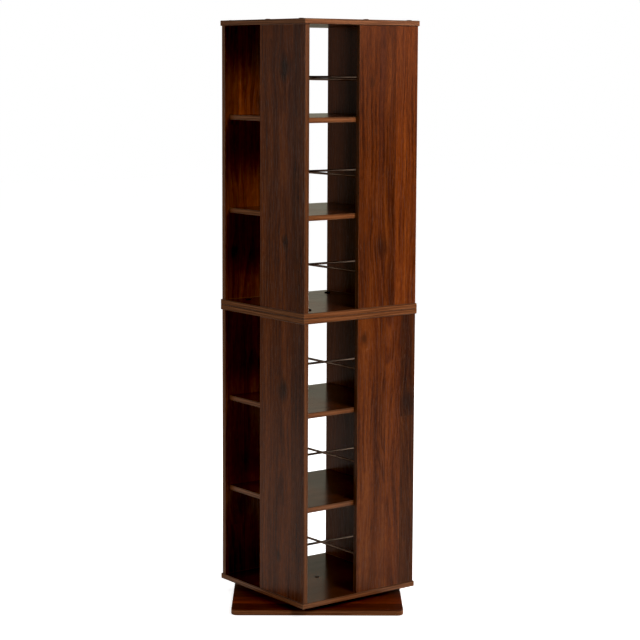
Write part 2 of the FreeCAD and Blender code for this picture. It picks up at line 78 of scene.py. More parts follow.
class Bench:
    """One node tree, with short ways to add nodes and join them."""

    def __init__(self, tree):
        self.tree = tree

    def join(self, socket, value):
        if isinstance(value, bpy.types.NodeSocket):
            self.tree.links.new(value, socket)
        else:
            socket.default_value = value

    def add(self, kind, inputs=None, **settings):
        made = self.tree.nodes.new(kind)
        for name, value in settings.items():
            setattr(made, name, value)
        for key, value in (inputs or {}).items():
            self.join(made.inputs[key], value)
        return made

    def math(self, operation, first, second=0.0, third=0.0):
        return self.add("ShaderNodeMath", {0: first, 1: second, 2: third}, operation=operation).outputs[0]

    def times(self, first, second):
        return self.math("MULTIPLY", first, second)

    def plus(self, first, second):
        return self.math("ADD", first, second)

    def minus(self, first, second):
        return self.math("SUBTRACT", first, second)

    def times_plus(self, first, second, third):
        return self.math("MULTIPLY_ADD", first, second, third)

    def group(self, tree, inputs):
        return self.add("ShaderNodeGroup", inputs, node_tree=tree).outputs

    def vector(self, operation, first, second=(0, 0, 0)):
        made = self.add("ShaderNodeVectorMath", {0: first, 1: second}, operation=operation)
        return made.outputs["Value" if operation in ("DOT_PRODUCT", "LENGTH") else "Vector"]

    def split(self, vector):
        return self.add("ShaderNodeSeparateXYZ", {0: vector}).outputs

    def combine(self, x, y, z):
        return self.add("ShaderNodeCombineXYZ", {0: x, 1: y, 2: z}).outputs[0]

    def noise(self, place, stretch, detail=2.0, roughness=0.5):
        stretched = self.vector("MULTIPLY", place, stretch)
        made = self.add("ShaderNodeTexNoise", {"Vector": stretched, "Scale": 1.0, "Detail": detail,
                                               "Roughness": roughness})
        return made.outputs["Fac"]

    def remap(self, value, low, high, to_low=0.0, to_high=1.0):
        made = self.add("ShaderNodeMapRange", {"Value": value, "From Min": low, "From Max": high,
                                               "To Min": to_low, "To Max": to_high},
                        interpolation_type="SMOOTHSTEP")
        return made.outputs["Result"]

    def mix(self, share, first, second, blend="MIX"):
        made = self.add("ShaderNodeMix", {0: share, 6: first, 7: second}, data_type="RGBA", blend_type=blend)
        return made.outputs[2]

    def ramp(self, value, stops):
        made = self.add("ShaderNodeValToRGB", {0: value})
        elements = made.color_ramp.elements
        while len(elements) < len(stops):
            elements.new(1.0)
        for element, (place, tone) in zip(elements, stops):
            element.position = place
            element.color = tone
        return made.outputs[0]


def tone(red, green, blue):
    return (red, green, blue, 1.0)


VECTOR, NUMBER, COLOUR = "NodeSocketVector", "NodeSocketFloat", "NodeSocketColor"
GEOMETRY, MATERIAL = "NodeSocketGeometry", "NodeSocketMaterial"


def new_group(name, inputs, outputs, kind="ShaderNodeTree"):
    """A node group with the given sockets: its tree, a bench for it, and what it is given and gives."""
    tree = bpy.data.node_groups.new(name, kind)
    for way, sockets in (("INPUT", inputs), ("OUTPUT", outputs)):
        for label, socket in sockets:
            tree.interface.new_socket(label, in_out=way, socket_type=socket)
    bench = Bench(tree)
    return tree, bench, bench.add("NodeGroupInput").outputs, bench.add("NodeGroupOutput").inputs


# Shader groups that several finishes share


SEAM_START, SEAM_FULL, SEAM_STRENGTH = 0.0012, 0.0002, 0.5  # how far from a seam its line starts and is full
LARGE_KNOT, SMALL_KNOT = (0.015, 0.023), (0.008, 0.013)  # half sizes across and along the grain
KNOT_BOW, KNOT_BOW_REACH = 0.62, 3.4  # how far a knot bends the grain, and to how many of its half sizes
PLANK_STEP = (0.43, 1.37)  # how far the print moves from plank to plank, across and along the grain
WANDER, RIPPLE = 0.05, 0.010  # how far the grain strays, in slow waves and in short ones
HEART_DEPTHS = (0.003, 0.06)  # the least and the most that the rings' heart lies below the face
RING_WIDTH, RING_ROUGHNESS = 0.0115, 0.007
GRAIN_FIELDS = {  # how often each changes across, through and along the grain, with its detail and roughness
    "band": ((24, 24, 0.7), 2.0, 0.5), "ribbon": ((47, 47, 1.7), 2.0, 0.5),
    "streak": ((80, 80, 3.2), 4.0, 0.62), "fibre": ((330, 330, 34), 3.0, 0.62),
    "plum": ((88, 60, 1.1), 2.0, 0.55), "dark_line": ((185, 185, 6), 3.0, 0.6),
    "glint": ((240, 240, 4.5), 2.0, 0.5), "fleck": ((170, 170, 80), 2.0, 0.55),
    "dash": ((280, 280, 38), 2.0, 0.5), "pores": ((950, 950, 22), 2.0, 0.5)}
PORE_START, PORE_FULL = 0.58, 0.7
WALNUT_RAMP = [(0.0, tone(0.050, 0.0104, 0.0020)), (0.34, tone(0.106, 0.0257, 0.0045)),
               (0.66, tone(0.168, 0.0437, 0.0077)), (1.0, tone(0.252, 0.0775, 0.0165))]
PRINT_LAYERS = (  # the field, where it starts and is full, how strong it is, and its tone
    ("plum", 0.5, 0.74, 0.42, tone(0.092, 0.0270, 0.0145)),
    ("glint", 0.56, 0.72, 0.27, tone(0.285, 0.0930, 0.0200)),
    ("dark_line", 0.54, 0.74, 0.25, tone(0.048, 0.0110, 0.0032)),
    ("dash", 0.6, 0.74, 0.36, tone(0.036, 0.0085, 0.0026)),
    ("pores", PORE_START, PORE_FULL, 0.38, tone(0.030, 0.0070, 0.0022)))
SEAM_TONE, KNOT_TONE = tone(0.045, 0.0120, 0.0040), tone(0.030, 0.0100, 0.0045)


def make_walnut_figure():
    """Printed walnut planks: rings round a wandering heart line, streaks, pores, plank seams and two knots.
    Place is across, depth and along the grain, in metres from the piece's middle. Seams holds where the
    second and third plank start across the grain, and where the third one has its butt joint. Each knot
    is how far across, how far along and how dark."""
    tree, bench, given, gives = new_group(
        "walnut_figure",
        [("Place", VECTOR), ("Print Offset", VECTOR), ("Seams", VECTOR), ("Plank Shades", VECTOR),
         ("Large Knot", VECTOR), ("Small Knot", VECTOR)],
        [("Color", COLOUR), ("Pores", NUMBER), ("Height", NUMBER), ("Sheen Shift", NUMBER)])
    across, depth, along = bench.split(given["Place"])
    second_seam, third_seam, butt = bench.split(given["Seams"])
    from_second = bench.minus(across, second_seam)
    from_third = bench.minus(across, third_seam)
    from_butt = bench.minus(along, butt)
    second = bench.math("GREATER_THAN", from_second, 0.0)
    third = bench.math("GREATER_THAN", from_third, 0.0)
    past_butt = bench.times(third, bench.math("GREATER_THAN", from_butt, 0.0))
    plank = bench.plus(bench.plus(second, third), past_butt)
    first_shade, second_shade, third_shade = bench.split(given["Plank Shades"])
    shade = bench.times_plus(second, bench.minus(second_shade, first_shade), first_shade)
    shade = bench.times_plus(third, bench.minus(third_shade, second_shade), shade)
    shade = bench.times(shade, bench.times_plus(past_butt, -0.1, 1.0))
    to_seam = bench.math("MINIMUM", bench.math("ABSOLUTE", from_second), bench.math("ABSOLUTE", from_third))
    seam_line = bench.remap(to_seam, SEAM_START, SEAM_FULL)

    def knot_at(knot, half):
        """How far a place is from a knot, in its half sizes, how dark the knot is and how far it bends the grain."""
        knot_across, knot_along, darkness = bench.split(knot)
        beside = bench.minus(across, knot_across)
        above = bench.minus(along, knot_along)
        reach = bench.vector("LENGTH", bench.combine(bench.math("DIVIDE", beside, half[0]), 0.0,
                                                     bench.math("DIVIDE", above, half[1])))
        bow = bench.times(bench.remap(reach, 0.0, KNOT_BOW_REACH, KNOT_BOW, 0.0), darkness)
        return reach, darkness, bench.times(beside, bow)

    large_reach, large_dark, large_bend = knot_at(given["Large Knot"], LARGE_KNOT)
    small_reach, small_dark, small_bend = knot_at(given["Small Knot"], SMALL_KNOT)
    bent = bench.minus(bench.minus(across, large_bend), small_bend)

    step = bench.combine(bench.times(plank, PLANK_STEP[0]), 0.0, bench.times(plank, PLANK_STEP[1]))
    offset = bench.vector("ADD", given["Print Offset"], step)
    printed = bench.vector("ADD", given["Place"], offset)
    wander = bench.minus(bench.noise(printed, (5, 5, 1.3), 2.0, 0.45), 0.5)
    ripple = bench.minus(bench.noise(printed, (16, 16, 8), 2.0, 0.5), 0.5)
    bent = bench.times_plus(wander, WANDER, bent)
    bent = bench.times_plus(ripple, RIPPLE, bent)
    shift_across, shift_depth, shift_along = bench.split(offset)
    grain = bench.combine(bench.plus(bent, shift_across), bench.plus(depth, shift_depth),
                          bench.plus(along, shift_along))

    heart = bench.remap(bench.noise(printed, (1, 1, 1.8), 1.0), 0.25, 0.75, *HEART_DEPTHS)
    ring_reach = bench.vector("LENGTH", bench.combine(bent, heart, 0.0))
    rough_ring = bench.times_plus(bench.noise(grain, (120, 120, 7), 3.0), RING_ROUGHNESS, ring_reach)
    ring_phase = bench.math("FRACT", bench.math("DIVIDE", rough_ring, RING_WIDTH))
    late_wood = bench.times(bench.remap(ring_phase, 0.1, 0.82), bench.remap(ring_phase, 1.0, 0.86))
    ring_show = bench.remap(bench.noise(grain, (26, 26, 5), 2.0), 0.38, 0.62)

    field = {label: bench.noise(grain, *settings) for label, settings in GRAIN_FIELDS.items()}
    level = bench.times_plus(field["band"], 0.62, bench.times_plus(field["streak"], 0.66, -0.155))
    level = bench.times_plus(field["ribbon"], 0.33, level)
    level = bench.times_plus(bench.times(late_wood, ring_show), -0.24, level)
    level = bench.times_plus(bench.minus(field["fibre"], 0.5), 0.48, level)
    level = bench.times_plus(bench.minus(field["fleck"], 0.5), 0.34, level)
    figure = bench.ramp(bench.remap(level, 0.14, 1.06), WALNUT_RAMP)
    for label, start, full, strength, layer_tone in PRINT_LAYERS:
        figure = bench.mix(bench.remap(field[label], start, full, 0.0, strength), figure, layer_tone)
    paler = bench.combine(shade, bench.math("POWER", shade, 0.92), bench.math("POWER", shade, 0.75))
    figure = bench.vector("MULTIPLY", figure, paler)
    figure = bench.mix(bench.times(seam_line, SEAM_STRENGTH), figure, SEAM_TONE)
    ragged = bench.times(bench.noise(grain, (210, 210, 60), 3.0), 1.3)
    for reach, darkness in ((large_reach, large_dark), (small_reach, small_dark)):
        inside = bench.remap(bench.plus(ragged, reach), 2.5, 0.9, 0.0, 0.86)
        figure = bench.mix(bench.times(inside, darkness), figure, KNOT_TONE)

    pores = bench.remap(field["pores"], PORE_START, PORE_FULL)
    bench.join(gives["Color"], figure)
    bench.join(gives["Pores"], pores)
    bench.join(gives["Height"], bench.times_plus(pores, -0.75, bench.times(field["fibre"], 0.35)))
    bench.join(gives["Sheen Shift"], bench.minus(field["streak"], 0.5))
    return tree


def make_edge_wear():
    """A ragged mask along a box-shaped piece's edges. Place is measured from the box's middle."""
    tree, bench, given, gives = new_group(
        "edge_wear", [("Place", VECTOR), ("Half Size", VECTOR), ("Width", NUMBER)], [("Wear", NUMBER)])
    inward = bench.vector("SUBTRACT", given["Half Size"], bench.vector("ABSOLUTE", given["Place"]))
    x, y, z = bench.split(inward)
    nearer, farther = bench.math("MINIMUM", x, y), bench.math("MAXIMUM", x, y)
    second = bench.math("MAXIMUM", nearer, bench.math("MINIMUM", farther, z))
    ragged = bench.times(bench.noise(given["Place"], (55, 55, 55), 3.0, 0.6), 2.0)
    reach = bench.times(given["Width"], ragged)
    bench.join(gives["Wear"], bench.remap(bench.math("DIVIDE", second, reach), 1.0, 0.35))
    return tree


def make_handling_marks():
    """Soft smears and fine specks that handling and dust leave on a smooth finish."""
    tree, bench, given, gives = new_group(
        "handling_marks", [("Place", VECTOR), ("Speck Size", NUMBER)], [("Smear", NUMBER), ("Specks", NUMBER)])
    broad = bench.noise(given["Place"], (9, 9, 9), 3.0, 0.55)
    rubbed = bench.noise(given["Place"], (46, 46, 30), 2.0, 0.5)
    smear = bench.times_plus(rubbed, 0.35, bench.times(broad, 0.65))
    cells = bench.add("ShaderNodeTexVoronoi", {"Vector": given["Place"], "Scale": 260.0}, feature="F1")
    size = bench.times(given["Speck Size"], bench.remap(broad, 0.3, 0.75))
    specks = bench.remap(bench.math("DIVIDE", cells.outputs["Distance"], bench.plus(size, 0.001)), 1.0, 0.5)
    bench.join(gives["Smear"], smear)
    bench.join(gives["Specks"], specks)
    return tree


def make_drawn_metal():
    """Fine lines along the way that a metal piece was drawn, with a slow stain over them."""
    tree, bench, given, gives = new_group(
        "drawn_metal", [("Place", VECTOR)], [("Lines", NUMBER), ("Stain", NUMBER)])
    bench.join(gives["Lines"], bench.noise(given["Place"], (2600, 2600, 20), 2.0, 0.6))
    bench.join(gives["Stain"], bench.noise(given["Place"], (60, 60, 30), 3.0, 0.55))
    return tree


walnut_figure = make_walnut_figure()
edge_wear = make_edge_wear()
handling_marks = make_handling_marks()
drawn_metal = make_drawn_metal()


# Finishes


def new_finish(name):
    made = bpy.data.materials.new(name)
    made.use_nodes = True
    made.node_tree.nodes.clear()
    bench = Bench(made.node_tree)
    surface = bench.add("ShaderNodeBsdfPrincipled")
    bench.add("ShaderNodeOutputMaterial", {"Surface": surface.outputs[0]})
    return made, bench, surface.inputs


def relief(bench, surface, height, strength, distance):
    bump = bench.add("ShaderNodeBump", {"Strength": strength, "Distance": distance, "Height": height})
    bench.join(surface["Normal"], bump.outputs[0])


def place_on(bench, axes=(X, Y, Z), middle=(0, 0, 0)):
    """Object coordinates turned to a piece's own axes and measured from its middle."""
    turn = Matrix(axes)
    coordinates = bench.add("ShaderNodeTexCoord")
    mapping = bench.add("ShaderNodeMapping", {"Vector": coordinates.outputs["Object"],
                                              "Location": -(turn @ Vector(middle)),
                                              "Rotation": turn.to_euler("XYZ")}, vector_type="POINT")
    return mapping.outputs[0], coordinates.outputs["Normal"]


PLAIN = tone(1.0, 1.0, 1.0)
BAND_RAMP = [(0.0, tone(0.125, 0.0475, 0.0185)), (0.5, tone(0.220, 0.0890, 0.0370)),
             (1.0, tone(0.305, 0.1370, 0.0610))]
# The first tone is painted shade: the darker, even tone that an inner face's print is mixed toward.
INNER_SHADE_TONE, RIM_SHADE_TONE = tone(0.086, 0.0225, 0.0056), tone(0.060, 0.0200, 0.0070)
WORN_TONE, DUST_TONE = tone(0.25, 0.125, 0.066), tone(0.30, 0.26, 0.22)
WEAR_WIDTH, PORE_DEPTH = 0.0014, 0.0002
RIM_SHADE_START, RIM_SHADE_FULL, RIM_SHADE_STRENGTH = 0.0026, 0.0006, 0.75  # an edge's dark rim, a painted shade, by how far it is from the faces
FACE_START, FACE_FULL = 0.5, 0.86  # how squarely a surface looks through the board, from edge to face
UPRIGHT_LOOK = {"band_lines": (230, 230, 2.4), "dull_pores": 0.14, "gloss_streak": 0.2, "relief": 0.22}
LYING_LOOK = {"band_lines": (7, 420, 7), "dull_pores": 0.05, "gloss_streak": 1.1, "relief": 0.015}
UPRIGHT_ROUGH, LYING_ROUGH, BASE_ROUGH = 0.25, 0.2, 0.4
TOWER_GLOSS, BASE_GLOSS = 0.45, 0.25


def walnut_finish(name, node, axes, offset, planks, knots, half, rough=UPRIGHT_ROUGH, gloss=TOWER_GLOSS,
                  face_tint=PLAIN, edge_tint=PLAIN, inner_painted_shade=0.0):
    """Walnut-print board. The axes are across the grain, inward through the board and along the grain. The inner
    painted shade is how far the print on the inner face is evened out toward a darker tone, as painted shade."""
    made, bench, surface = new_finish(name)
    low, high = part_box(node)
    place, normal = place_on(bench, axes, (low + high) / 2)
    figure = bench.group(walnut_figure, {
        "Place": place, "Print Offset": offset, "Seams": planks[0], "Plank Shades": planks[1],
        "Large Knot": knots[0], "Small Knot": knots[1]})
    wear = bench.group(edge_wear, {"Place": place, "Half Size": half, "Width": WEAR_WIDTH})["Wear"]
    marks = bench.group(handling_marks, {"Place": place, "Speck Size": 0.08})
    look = UPRIGHT_LOOK if abs(axes[2].z) > 0.5 else LYING_LOOK

    inward = bench.vector("DOT_PRODUCT", normal, axes[1])
    on_face = bench.remap(bench.math("ABSOLUTE", inward), FACE_START, FACE_FULL)
    # Painted shade: the print on the inner face is evened out and darkened.
    inner_shade = bench.remap(inward, FACE_START, FACE_FULL, 0.0, inner_painted_shade)
    print_with_inner_shade = bench.mix(inner_shade, figure["Color"], INNER_SHADE_TONE)
    band_line = bench.noise(place, look["band_lines"], 3.0, 0.6)
    band = bench.ramp(bench.remap(band_line, 0.3, 0.7), BAND_RAMP)
    from_middle = bench.math("ABSOLUTE", bench.split(place)["Y"])
    # Painted shade: the edge band darkens towards its rims, next to the faces.
    rim = bench.remap(from_middle, half[1] - RIM_SHADE_START, half[1] - RIM_SHADE_FULL, 0.0, RIM_SHADE_STRENGTH)
    band = bench.mix(rim, bench.mix(1.0, band, edge_tint, "MULTIPLY"), RIM_SHADE_TONE)
    colour = bench.mix(on_face, band, bench.mix(1.0, print_with_inner_shade, face_tint, "MULTIPLY"))
    colour = bench.mix(bench.times(wear, 0.3), colour, WORN_TONE)
    colour = bench.mix(bench.times(marks["Specks"], 0.2), colour, DUST_TONE)
    bench.join(surface["Base Color"], colour)
    dull = bench.times_plus(marks["Smear"], 0.12, rough - 0.06)
    dull = bench.times_plus(figure["Pores"], look["dull_pores"], dull)
    dull = bench.times_plus(figure["Sheen Shift"], -0.08, dull)
    bench.join(surface["Roughness"], bench.times_plus(wear, 0.1, dull))
    bench.join(surface["Specular IOR Level"],
               bench.times_plus(figure["Sheen Shift"], look["gloss_streak"] * gloss, gloss))
    relief(bench, surface, figure["Height"], look["relief"], PORE_DEPTH)
    return made


def dress(finish, *names):
    for name in names:
        for slot in cad[name].material_slots:
            slot.material = finish


PANEL_AXES = {"front": (X, Y, Z), "right": (Y, -X, Z), "back": (-X, -Y, Z), "left": (-Y, X, Z)}
BOARD_AXES = (Y, Z, X)
BASE_AXES = (Vector((-math.sin(BASE_TURN), math.cos(BASE_TURN), 0)), Z,
             Vector((math.cos(BASE_TURN), math.sin(BASE_TURN), 0)))
KNOTS = {  # the large knot and the small one: across and along from the panel's middle, and how dark
    "upper_front": ((-0.018, -0.180, 0.6), (-0.047, 0.190, 0.5)),
    "lower_front": ((0.064, 0.112, 0.9), (-0.066, 0.270, 0.8)),
    "upper_left": ((0.009, 0.222, 1.0), (0.012, -0.164, 0.9)),
    "lower_left": ((0.006, 0.159, 1.0), (-0.012, -0.226, 0.8)),
    "upper_right": ((0.032, -0.060, 0.8), (-0.052, 0.210, 0.7)),
    "lower_right": ((-0.041, 0.205, 0.9), (0.046, -0.120, 0.7)),
    "upper_back": ((-0.020, 0.140, 0.9), (0.058, -0.205, 0.8)),
    "lower_back": ((0.036, -0.150, 0.8), (-0.022, 0.118, 0.7))}
NO_KNOTS = ((0.0, 3.0, 0.0), (0.0, 3.0, 0.0))  # far off the board, and not dark
PANEL_PLANKS = {  # the two seams and the butt joint, from the panel's middle, and the three planks' shades
    "upper_front": ((0.0195, 0.0545, -0.5), (0.92, 1.14, 1.24)),
    "lower_front": ((-0.003, 0.0425, 0.080), (0.95, 1.05, 0.6)),
    "upper_left": ((0.0395, 0.074, 0.5), (1.04, 0.8, 0.76)),
    "lower_left": ((0.0375, 0.072, 0.5), (1.05, 0.79, 0.74)),
    "upper_right": ((-0.036, 0.041, -0.11), (0.82, 0.95, 0.88)),
    "lower_right": ((-0.044, 0.022, 0.17), (1.2, 0.96, 0.7)),
    "upper_back": ((-0.012, 0.047, 0.09), (1.0, 1.24, 0.94)),
    "lower_back": ((-0.05, 0.03, -0.2), (0.74, 1.1, 0.98))}
EDGE_TINTS = {"upper_left": tone(0.80, 0.78, 0.78)}  # edge bands that differ from the rest
# How far the right panels' inner faces are evened out and darkened: painted shade.
INNER_PAINTED_SHADE = {"right": 0.65}
BOARD_SEAMS = (-0.058, 0.061, 0.07)
# The shelves and bottom boards, inside the tower, get darker plank shades than the top board: painted shade.
TOP_SHADES, SHELF_SHADES_WITH_PAINTED_SHADE = (0.72, 0.82, 0.67), (0.58, 0.66, 0.54)
BASE_PLANKS = ((-0.142, -0.088, 0.07), (0.80, 1.62, 1.05))
BASE_FACE_TINT, BASE_EDGE_TINT = tone(0.80, 0.60, 0.68), tone(1.06, 1.04, 0.98)


def half_size(node, axes):
    low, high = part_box(node)
    reach = (high - low) / 2
    return tuple(sum(abs(axis[i]) * reach[i] for i in range(3)) for axis in axes)


def dress_walnut():
    for step, unit in enumerate(UNITS):
        for count, side in enumerate(SIDES):
            panel, node, axes = f"{unit}_{side}", f"{unit}_panel_{side}", PANEL_AXES[side]
            offset = (0.37 * count + 0.13, 0.5 * step + 0.21 * count, 0.83 * step + 0.29 * count)
            dress(walnut_finish(f"walnut_{node}", node, axes, offset, PANEL_PLANKS[panel], KNOTS[panel],
                                half_size(node, axes), edge_tint=EDGE_TINTS.get(panel, PLAIN),
                                inner_painted_shade=INNER_PAINTED_SHADE.get(side, 0.0)), node)
        for count, board in enumerate(("bottom_board", "shelf_1", "shelf_2", "top_board")):
            node = f"{unit}_{board}"
            offset = (0.61 * count + 1.7 * step, 0.33 * count, 0.47 * count + 2.1)
            # Boards inside the tower take the plank shades darkened as painted shade.
            shades = TOP_SHADES if board == "top_board" else SHELF_SHADES_WITH_PAINTED_SHADE
            dress(walnut_finish(f"walnut_{node}", node, BOARD_AXES, offset, (BOARD_SEAMS, shades), NO_KNOTS,
                                half_size(node, BOARD_AXES), LYING_ROUGH), node)
    low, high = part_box("base_board")
    base_half = (BASE_HALF_SIDE, (high.z - low.z) / 2, BASE_HALF_SIDE)
    dress(walnut_finish("walnut_base_board", "base_board", BASE_AXES, (0.9, 0.4, 3.3), BASE_PLANKS, NO_KNOTS,
                        base_half, BASE_ROUGH, BASE_GLOSS, BASE_FACE_TINT, BASE_EDGE_TINT), "base_board")


def metal_finish(name, along, colour, stained, rough):
    """Drawn or pressed steel, its fine lines along the given way."""
    made, bench, surface = new_finish(name)
    across = Z if abs(along.z) < 0.5 else X
    place, _ = place_on(bench, (across, along.cross(across), along))
    metal = bench.group(drawn_metal, {"Place": place})
    marks = bench.group(handling_marks, {"Place": place, "Speck Size": 0.1})
    finish_tone = bench.mix(bench.remap(metal["Stain"], 0.35, 0.72), colour, stained)
    finish_tone = bench.mix(bench.times(marks["Specks"], 0.25), finish_tone, tone(0.2, 0.18, 0.16))
    bench.join(surface["Base Color"], finish_tone)
    surface["Metallic"].default_value = 1.0
    dull = bench.times_plus(metal["Lines"], 0.16, rough - 0.1)
    bench.join(surface["Roughness"], bench.times_plus(marks["Smear"], 0.1, dull))
    relief(bench, surface, metal["Lines"], 0.12, 0.00005)
    return made


def plastic_finish(name, colour, scuffed, rough, grain_size):
    """Moulded plastic with a fine spark-eroded grain and pale scuffs."""
    made, bench, surface = new_finish(name)
    place, _ = place_on(bench)
    marks = bench.group(handling_marks, {"Place": place, "Speck Size": 0.12})
    grain = bench.noise(place, (grain_size,) * 3, 2.0, 0.6)
    finish_tone = bench.mix(bench.remap(marks["Smear"], 0.35, 0.75, 0.0, 0.5), colour, scuffed)
    finish_tone = bench.mix(bench.times(marks["Specks"], 0.2), finish_tone, scuffed)
    bench.join(surface["Base Color"], finish_tone)
    bench.join(surface["Roughness"], bench.times_plus(grain, 0.2, rough - 0.1))
    relief(bench, surface, grain, 0.25, 0.0001)
    return made


def beech_finish():
    """Raw beech: pale, with short dark ray flecks along the dowel's flutes."""
    made, bench, surface = new_finish("raw_beech")
    place, _ = place_on(bench)
    cloud = bench.noise(place, (160, 160, 160), 3.0, 0.6)
    flecks = bench.remap(bench.noise(place, (900, 900, 500), 2.0), 0.58, 0.7)
    wood = bench.mix(bench.remap(cloud, 0.3, 0.7), tone(0.55, 0.34, 0.18), tone(0.70, 0.49, 0.29))
    bench.join(surface["Base Color"], bench.mix(bench.times(flecks, 0.5), wood, tone(0.33, 0.17, 0.08)))
    bench.join(surface["Roughness"], bench.times_plus(cloud, 0.2, 0.55))
    relief(bench, surface, flecks, 0.2, 0.0001)
    return made


def felt_finish():
    """Pressed felt: matted short fibres in two dark tones."""
    made, bench, surface = new_finish("pressed_felt")
    place, _ = place_on(bench)
    mat = bench.noise(place, (520, 520, 520), 4.0, 0.7)
    fibres = bench.add("ShaderNodeTexVoronoi", {"Vector": place, "Scale": 1500.0}, feature="DISTANCE_TO_EDGE")
    lines = bench.remap(fibres.outputs["Distance"], 0.0, 0.12)
    wool = bench.mix(bench.remap(mat, 0.3, 0.7), tone(0.016, 0.013, 0.011), tone(0.055, 0.045, 0.038))
    bench.join(surface["Base Color"], bench.mix(bench.times(lines, 0.5), wool, tone(0.028, 0.022, 0.019)))
    bench.join(surface["Roughness"], bench.times_plus(mat, 0.15, 0.82))
    surface["Sheen Weight"].default_value = 0.3
    relief(bench, surface, mat, 0.7, 0.0006)
    return made


dress_walnut()
RODS_ALONG_X = [f"{unit}_rod_{tier}_side_to_side" for unit in UNITS for tier in TIERS]
RODS_ALONG_Y = [f"{unit}_rod_{tier}_front_to_back" for unit in UNITS for tier in TIERS]
ROD_LOOK = (tone(0.49, 0.37, 0.295), tone(0.35, 0.265, 0.205), 0.32)
dress(metal_finish("rod_bronze_side_to_side", X, *ROD_LOOK), *RODS_ALONG_X)
dress(metal_finish("rod_bronze_front_to_back", Y, *ROD_LOOK), *RODS_ALONG_Y)
black_oxide = metal_finish("black_oxide_steel", Z, tone(0.030, 0.027, 0.025), tone(0.016, 0.014, 0.013), 0.42)
zinc = metal_finish("zinc_plate", X, tone(0.60, 0.60, 0.59), tone(0.47, 0.48, 0.49), 0.36)
ball_steel = metal_finish("polished_ball_steel", Z, tone(0.66, 0.66, 0.67), tone(0.56, 0.56, 0.58), 0.16)
brown_plastic = plastic_finish("matt_brown_plastic", tone(0.058, 0.0190, 0.0095), tone(0.105, 0.0480, 0.0280),
                               0.46, 1500)
nylon = plastic_finish("natural_nylon", tone(0.62, 0.60, 0.54), tone(0.50, 0.46, 0.38), 0.5, 1200)
beech = beech_finish()
felt = felt_finish()
dress(zinc, "swivel_lower_plate", "swivel_upper_plate", "pivot_rivet")
dress(nylon, "ball_cage")
dress(brown_plastic, "centre_cap")


# Repeated hardware, made by geometry nodes


def places_of(node, reach):
    """The lowest and the highest corner of each of a CAD node's separate small pieces."""
    groups = []
    for vertex in cad[node].data.vertices:
        point = vertex.co.copy()
        for group in groups:
            if (group["seed"] - point).length < reach:
                break
        else:
            group = {"seed": point, "low": point.copy(), "high": point.copy()}
            groups.append(group)
        group["low"] = Vector(map(min, group["low"], point))
        group["high"] = Vector(map(max, group["high"], point))
    return [(group["low"], group["high"]) for group in groups]


def hardware_tree(name, sizes):
    """A geometry tree with the places, the named sizes and a finish as its inputs."""
    inputs = [("Places", GEOMETRY), *((label, NUMBER) for label in sizes), ("Finish", MATERIAL)]
    return new_group(name, inputs, [("Pieces", GEOMETRY)], "GeometryNodeTree")


def lathe_sheet(bench, segments, rows):
    """A sheet to be rolled up: its mesh, each point's angle round the axis and its share of the length."""
    sheet = bench.add("GeometryNodeMeshGrid", {"Size X": 1.0, "Size Y": 1.0, "Vertices X": segments + 1,
                                               "Vertices Y": rows})
    u, v, _ = bench.split(bench.add("GeometryNodeInputPosition").outputs[0])
    return sheet.outputs[0], bench.times(bench.plus(u, 0.5), TURN), bench.plus(v, 0.5)


def rolled(bench, sheet, angle, radius, height):
    point = bench.combine(bench.times(radius, bench.math("COSINE", angle)),
                          bench.times(radius, bench.math("SINE", angle)), height)
    return bench.add("GeometryNodeSetPosition", {"Geometry": sheet, "Position": point}).outputs[0]


WELD_REACH = 2e-6


def welded(bench, *shapes):
    whole = bench.add("GeometryNodeJoinGeometry")
    for shape in shapes:
        bench.join(whole.inputs[0], shape)
    return bench.add("GeometryNodeMergeByDistance", {"Geometry": whole.outputs[0], "Distance": WELD_REACH}).outputs[0]


WAVES = {"cross": (4.0, 0.34), "fluted": (16.0, 0.035)}  # how many there are round an outline, and how deep


def outline_share(bench, outline, angle):
    """How far an outline reaches at an angle, as a share of its radius."""
    if outline == "hexagon":
        sixth = bench.minus(bench.math("MODULO", angle, TURN / 6), TURN / 12)
        return bench.math("DIVIDE", math.cos(TURN / 12), bench.math("COSINE", sixth))
    waves, depth = WAVES[outline]
    return bench.times_plus(bench.math("COSINE", bench.times(angle, waves)), depth, 1.0 - depth)


def turned(bench, rings, segments):
    """A turned shape from rings of (radius, height) and, where it isn't round, an outline's name."""
    count = len(rings)
    sheet, angle, share = lathe_sheet(bench, segments, count)
    row = bench.math("ROUND", bench.times(share, count - 1.0))

    def pick(values):
        switch = bench.add("GeometryNodeIndexSwitch", data_type="FLOAT")
        while len(switch.index_switch_items) < count:
            switch.index_switch_items.new()
        bench.join(switch.inputs["Index"], row)
        for index, value in enumerate(values):
            bench.join(switch.inputs[index + 1], value)
        return switch.outputs[0]

    radius = pick([ring[0] for ring in rings])
    for outline in sorted({ring[2] for ring in rings if len(ring) > 2}):
        here = pick([1.0 if outline in ring else 0.0 for ring in rings])
        reach = bench.minus(outline_share(bench, outline, angle), 1.0)
        radius = bench.times(radius, bench.times_plus(reach, here, 1.0))
    return rolled(bench, sheet, angle, radius, pick([ring[1] for ring in rings]))


ROWS_PER_TURN = 4


def threaded(bench, core, crest, top, bottom, pitch, turns, segments):
    """A screw thread between two levels that runs out into the core at both ends."""
    sheet, angle, share = lathe_sheet(bench, segments, turns * ROWS_PER_TURN + 1)
    height = bench.times_plus(share, bench.minus(bottom, top), top)
    climb = bench.minus(bench.math("DIVIDE", height, pitch), bench.math("DIVIDE", angle, TURN))
    phase = bench.math("FRACT", climb)
    ridge = bench.minus(1.0, bench.times(bench.math("ABSOLUTE", bench.minus(phase, 0.5)), 2.0))
    run_out = bench.times(bench.remap(share, 0.0, 0.06), bench.remap(share, 1.0, 0.92))
    rise = bench.times(bench.times(ridge, run_out), bench.minus(crest, core))
    return rolled(bench, sheet, angle, bench.plus(core, rise), height)


